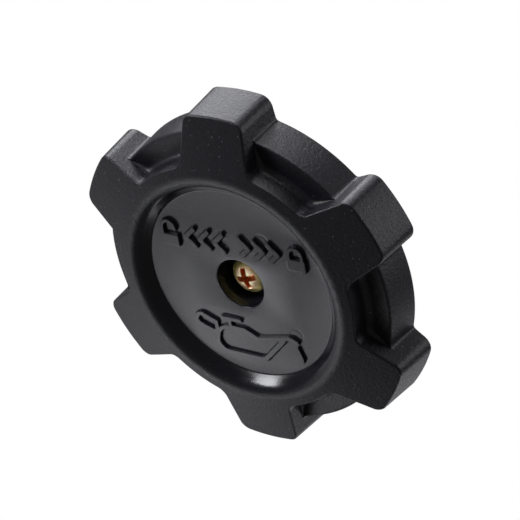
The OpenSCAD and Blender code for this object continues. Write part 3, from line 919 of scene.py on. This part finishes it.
def moulded_plastic(k):
    """Black moulding: a fine spark-eroded grain outside the dish, satin inside it and glossier up its wall,
    small pale specks, and a slight wear of roughness. The grain lies outside the dish's lip and below the
    pockets."""
    material, shader, place = new_material("black_moulding")
    grain_size, cloud_size, speck_size, grain_depth = 0.0006, 0.006, 0.0004, 0.00013
    face_start, face_end = (k.dish_radius + 1.6) * MM, (k.dish_radius + 3.0) * MM
    wall_start, wall_end = (k.dish_height + 0.3) * MM, (k.dish_height + 0.9) * MM
    pocket, over_pocket = k.pocket_height * MM, (k.pocket_height + 1) * MM
    height = add_node(material, "ShaderNodeSeparateXYZ", None, Vector=place).outputs["Z"]
    outside = ramp(material, from_axis(material, place), face_start, face_end, 0, 1)
    grainy = maths(material, "MAXIMUM", outside, ramp(material, height, pocket, over_pocket, 1, 0))
    grain = noise(material, place, grain_size, detail=3, roughness=0.7)
    cloud = noise(material, place, cloud_size, detail=3)
    speck = ramp(material, noise(material, place, speck_size, detail=0), 0.785, 0.84, 0, 1)
    share = maths(material, "MULTIPLY", speck, ramp(material, grainy, 0, 1, 0.15, 0.8))
    base = tinted(material, share, drifting(material, cloud, k.plastic, 0.85, 1.2), k.speck)
    gloss = ramp(material, height, wall_start, wall_end, 0, 0.07)
    satin = maths(material, "SUBTRACT", varied(material, cloud, 0.22, 0.27), gloss)
    grained = varied(material, grain, 0.35, 0.43)
    rough = add_node(material, "ShaderNodeMix", {"data_type": "FLOAT"}, i0=grainy, i2=satin, i3=grained)
    set_inputs(material, shader, Base_Color=base, Roughness=rough.outputs[0],
               Specular_IOR_Level=k.plastic_sheen)
    depth = maths(material, "MULTIPLY", grain, ramp(material, grainy, 0, 1, 0.12, 1.0))
    bumped(material, shader, depth, grain_depth, 0.75)
    return material


def yellow_zinc(name, pale, film, rough, start, end, recess=None):
    """Yellow-passivated zinc with fine pickling marks: pale where the film is thin, then pink gold, and
    golden green where it is thick. The film thickens with the distance from the axis between start and end,
    in metres, and drifts a little everywhere. A recess, given as its colour, the height of the dome's centre,
    the dome's radius and the recess's reach, takes its colour where it lies below the dome."""
    material, shader, place = new_material(name)
    drift_size, mark_size, mark_depth = 0.003, 0.0005, 0.00001
    radius = from_axis(material, place)
    drift = ramp(material, noise(material, place, drift_size), 0.35, 0.65, 0, 0.2)
    thick = maths(material, "ADD", ramp(material, radius, start, end, 0, 0.8), drift)
    pink = (pale[0], pale[1] * 0.78, pale[2] * 0.72)
    base = tinted(material, ramp(material, thick, 0.1, 0.55, 0, 1), pale, pink)
    base = tinted(material, ramp(material, thick, 0.55, 0.9, 0, 1), base, film)
    if recess is not None:
        deep, centre, dome, reach = recess
        spoke = vector_maths(material, "DISTANCE", i0=place, i1=(0, 0, centre)).outputs["Value"]
        sunk = ramp(material, spoke, dome - 0.00025, dome - 0.00005, 1, 0)
        inner = ramp(material, radius, reach, reach + 0.0001, 1, 0)
        base = tinted(material, maths(material, "MULTIPLY", sunk, inner), base, deep)
    marks = noise(material, place, mark_size, detail=3)
    set_inputs(material, shader, Base_Color=base, Metallic=1.0,
               Roughness=varied(material, marks, rough * 0.85, rough * 1.15))
    bumped(material, shader, marks, mark_depth, 0.3)
    return material


def plain_steel(k):
    """Drawn and turned steel with fine marks round the axis."""
    material, shader, place = new_material("bright_steel")
    mark_size, mark_depth, narrower = 0.0015, 0.00002, (1, 1, 12)
    across = add_node(material, "ShaderNodeMapping", None, Vector=place, Scale=narrower).outputs["Vector"]
    marks = noise(material, across, mark_size, detail=4)
    set_inputs(material, shader, Base_Color=drifting(material, marks, k.steel, 0.8, 1.15), Metallic=1.0,
               Roughness=varied(material, marks, 0.24, 0.4))
    bumped(material, shader, marks, mark_depth, 0.3)
    return material


def black_rubber(k):
    """Matt rubber with a faint bloom and a fine skin."""
    material, shader, place = new_material("black_rubber")
    bloom_size, skin_size, skin_depth = 0.004, 0.0003, 0.00003
    bloom = noise(material, place, bloom_size, detail=4)
    skin = noise(material, place, skin_size, detail=3)
    set_inputs(material, shader, Base_Color=drifting(material, bloom, k.rubber, 0.8, 1.5),
               Roughness=varied(material, skin, 0.6, 0.75), Specular_IOR_Level=0.4)
    bumped(material, shader, skin, skin_depth, 0.5)
    return material


def white_nylon(k):
    """Natural nylon, slightly clouded."""
    material, shader, place = new_material("natural_nylon")
    cloud_size, cloud_depth = 0.001, 0.00002
    cloud = noise(material, place, cloud_size)
    set_inputs(material, shader, Base_Color=drifting(material, cloud, k.nylon, 0.88, 1.0), Roughness=0.45)
    bumped(material, shader, cloud, cloud_depth, 0.3)
    return material


def white_to_camera(tree, dim, white, output):
    """Joins the output to the white shader where the camera sees it directly, and else to the dim one."""
    path = tree.nodes.new("ShaderNodeLightPath")
    mix = tree.nodes.new("ShaderNodeMixShader")
    tree.links.new(path.outputs["Is Camera Ray"], mix.inputs[0])
    tree.links.new(dim.outputs[0], mix.inputs[1])
    tree.links.new(white.outputs[0], mix.inputs[2])
    tree.links.new(mix.outputs[0], output.inputs["Surface"])


def studio_white(name, colour_value):
    """A pale matt surface that is plain white where the camera sees it directly."""
    material = bpy.data.materials.new(name)
    material.use_nodes = True
    tree = material.node_tree
    tree.nodes.clear()
    matt = tree.nodes.new("ShaderNodeBsdfDiffuse")
    matt.inputs["Color"].default_value = (*colour_value, 1)
    glow = tree.nodes.new("ShaderNodeEmission")
    glow.inputs["Color"].default_value = (1, 1, 1, 1)
    white_to_camera(tree, matt, glow, tree.nodes.new("ShaderNodeOutputMaterial"))
    return material


def studio_world(room_level):
    """A world that lights evenly at a level and is plain white where the camera sees it directly."""
    world = bpy.data.worlds.new("studio_world")
    world.use_nodes = True
    tree = world.node_tree
    tree.nodes.clear()
    room = tree.nodes.new("ShaderNodeBackground")
    white = tree.nodes.new("ShaderNodeBackground")
    for background, strength in ((room, room_level), (white, 1.0)):
        background.inputs["Color"].default_value = (1, 1, 1, 1)
        background.inputs["Strength"].default_value = strength
    white_to_camera(tree, room, white, tree.nodes.new("ShaderNodeOutputWorld"))
    return world


def hang_lamp(name, kind, place, target, power, **settings):
    """A lamp of a kind, with its settings, that looks from its place to its target."""
    lamp = bpy.data.lights.new(name, kind)
    lamp.energy = power
    for key, value in settings.items():
        setattr(lamp, key, value)
    turn = (Vector(target) - Vector(place)).to_track_quat("-Z", "Y").to_matrix().to_4x4()
    add_object(name, lamp).matrix_world = Matrix.Translation(place) @ turn


class CAP_OT_knob(bpy.types.Operator):
    """Builds the moulded knob with its lobes, dish, marks and hollow back"""

    bl_idname = "oilcap.knob"
    bl_label = "Knob"

    def execute(self, context):
        k = sizes(context.scene.cap_knob)
        piece = make_piece("knob_moulding", knob_patches(k), moulded_plastic(k))
        stand_for(piece, "grip_knob", "cap")
        return {"FINISHED"}


class CAP_OT_screw(bpy.types.Operator):
    """Builds the centre screw and its lock nut"""

    bl_idname = "oilcap.screw"
    bl_label = "Screw and nut"

    def execute(self, context):
        k = sizes(context.scene.cap_screw)
        dome_centre = (SCREW.high - k.dome_radius) * MM
        recess = (k.zinc_recess, dome_centre, k.dome_radius * MM, (k.wing_length + 0.1) * MM)
        zinc = yellow_zinc("yellow_zinc", k.zinc, k.zinc_rim, rough=0.46, start=0.0012, end=0.0028,
                           recess=recess)
        patches = screw_patches(k, base=SEAL.high, top=SCREW.high, end=SCREW.low)
        screw = make_piece("pan_head_screw", patches, zinc, smooth=40)
        stand_for(screw, "centre_screw", "cap")
        nut = make_piece("locking_nut", nut_patches(k, NUT.low, NUT.high), zinc)
        stand_for(nut, "lock_nut", "cap")
        section = washer(k.bore_radius, INSERT.radius, INSERT.low, INSERT.high, edge=0.1)
        nylon = make_piece("nylon_ring", ring_of(section, columns=96), white_nylon(k))
        stand_for(nylon, "nut_insert", "cap")
        return {"FINISHED"}


class CAP_OT_seals(bpy.types.Operator):
    """Builds the gasket and the seal under the screw's head"""

    bl_idname = "oilcap.seals"
    bl_label = "Gasket and seal"

    def execute(self, context):
        k = sizes(context.scene.cap_seal)
        rubber = black_rubber(k)
        edge = k.edge_radius
        under_lip = GASKET.low + k.lip_height
        section = washer(k.lip_radius, GASKET.radius, GASKET.low, GASKET.high, edge)[:3]
        section += [(k.lip_radius, under_lip, edge), (k.face_radius, under_lip, edge / 2),
                    (k.face_radius, GASKET.low, edge)]
        stand_for(make_piece("rubber_gasket", ring_of(section), rubber), "gasket", "cap")
        section = washer(k.seal_bore, SEAL.radius, SEAL.low, SEAL.high, k.seal_edge)
        stand_for(make_piece("screw_washer", ring_of(section), rubber), "screw_seal", "cap")
        return {"FINISHED"}


class CAP_OT_spring_stack(bpy.types.Operator):
    """Builds the lock plate, its spring, the sleeve and the spring's cup"""

    bl_idname = "oilcap.spring_stack"
    bl_label = "Lock plate and spring"

    def execute(self, context):
        k = sizes(context.scene.cap_spring)
        steel = plain_steel(k)
        zinc = yellow_zinc("yellow_zinc_pressing", k.pressing, k.pressing_film, rough=0.3, start=0.008,
                           end=0.018)
        plate = bevelled_copy("lock_plate", "pressed_lock_plate", zinc, k.bevel)
        stand_for(plate, "lock_plate", "plate")
        sleeve = bevelled_copy("spacer_sleeve", "turned_sleeve", steel, k.bevel)
        stand_for(sleeve, "spacer_sleeve", "cap")
        cup = bevelled_copy("spring_cup", "pressed_cup", zinc, k.bevel)
        stand_for(cup, "spring_cup", "cap")
        low, high = SPRING.low, SPRING.high
        patches = spring_patches(k, SPRING.radius - k.wire_radius, low, high)
        spring = make_piece("coil_spring", patches, steel, smooth=50)
        stand_for(spring, "lock_spring", "cap")
        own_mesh(spring)
        return {"FINISHED"}


# Each softbox's place from the aim along the camera's right, up and back and its width, in metres, and its
# power in watts
SOFTBOXES = {
    "rear_softbox": ((-0.19, 0.80, -0.37), 0.50, 3.48),
    "left_softbox": ((-0.80, 0.34, 0.20), 0.27, 3.2),
    "right_softbox": ((0.84, 0.30, 0.04), 0.50, 1.23),
    "top_softbox": ((-0.03, 0.87, 0.21), 0.60, 2.84),
    "low_left_softbox": ((-0.66, -0.58, -0.18), 0.50, 0.18),
    "low_right_softbox": ((0.40, -0.63, -0.50), 0.80, 1.69),
    "back_softbox": ((-0.57, -0.42, -0.55), 1.10, 1.25),
    "near_card": ((-0.134, -0.142, -0.056), 0.06, 0.024),
}
SOFTBOX_TINT = (0.98, 0.985, 1.03)

# The snoot's place from the screw's head, in metres
SNOOT_PLACE = (-0.130, -0.126, 0.312)


class CAP_OT_stage(bpy.types.Operator):
    """Sets up the camera, the lamps, the floor and the world"""

    bl_idname = "oilcap.stage"
    bl_label = "Camera, lamps and floor"

    def execute(self, context):
        settings = context.scene.cap_stage
        scene = context.scene
        aim = Vector(settings.aim)
        az, el = settings.azimuth, settings.elevation
        away = Vector((math.cos(el) * math.sin(az), -math.cos(el) * math.cos(az), math.sin(el)))
        turn = away.to_track_quat("Z", "Y").to_matrix() @ Matrix.Rotation(-settings.roll, 3, "Z")
        camera = add_object("studio_camera", bpy.data.cameras.new("studio_camera"))
        camera.data.lens = settings.lens
        camera.data.clip_end = 50
        camera.matrix_world = Matrix.Translation(aim + away * settings.distance) @ turn.to_4x4()
        scene.camera = camera
        for name, (place, width, power) in SOFTBOXES.items():
            hang_lamp(name, "AREA", aim + turn @ Vector(place), aim, power * settings.lamp_level,
                      size=width, color=SOFTBOX_TINT)
        head = Vector((0, 0, SCREW.high * MM))
        hang_lamp("screw_snoot", "SPOT", head + Vector(SNOOT_PLACE), head, settings.snoot_power,
                  spot_size=math.radians(1), spot_blend=0.4, shadow_soft_size=0.01)
        half, low = settings.floor_size / 2, settings.floor_height
        corners = [(-half, -half, low), (half, -half, low), (half, half, low), (-half, half, low)]
        mesh = bpy.data.meshes.new("studio_floor")
        mesh.from_pydata(corners, [], [(0, 1, 2, 3)])
        mesh.materials.append(studio_white("studio_white", tuple(settings.floor_colour)))
        floor = add_object("studio_floor", mesh)
        scene.world = studio_world(settings.room_level)
        scene.view_settings.view_transform = "Standard"
        return {"FINISHED"}


class CAP_PT_panel(bpy.types.Panel):
    """Sidebar panel with a button for each operator and a box for each group of settings"""

    bl_label = "Oil Filler Cap"
    bl_idname = "CAP_PT_panel"
    bl_space_type = "VIEW_3D"
    bl_region_type = "UI"
    bl_category = "Oil Cap"

    def draw(self, context):
        for operator in OPERATORS:
            self.layout.operator(operator.bl_idname)
        for group in SETTINGS:
            box = self.layout.box()
            box.label(text=group.replace("_", " ").capitalize())
            settings = getattr(context.scene, group)
            for name in settings.bl_rna.properties.keys():
                if name not in {"rna_type", "name"}:
                    box.prop(settings, name)


OPERATORS = (CAP_OT_knob, CAP_OT_screw, CAP_OT_seals, CAP_OT_spring_stack, CAP_OT_stage)
CLASSES = tuple(SETTINGS.values()) + OPERATORS + (CAP_PT_panel,)


def register():
    """Registers the classes and hangs the settings on the scene."""
    for cls in CLASSES:
        bpy.utils.register_class(cls)
    for name, group in SETTINGS.items():
        setattr(bpy.types.Scene, name, PointerProperty(type=group))


def unregister():
    """Takes the settings and the classes away again."""
    for name in SETTINGS:
        delattr(bpy.types.Scene, name)
    for cls in reversed(CLASSES):
        bpy.utils.unregister_class(cls)


def main():
    """Builds every piece and the stage."""
    register()
    bpy.ops.oilcap.knob()
    bpy.ops.oilcap.screw()
    bpy.ops.oilcap.seals()
    bpy.ops.oilcap.spring_stack()
    bpy.ops.oilcap.stage()


if __name__ == "__main__":
    main()
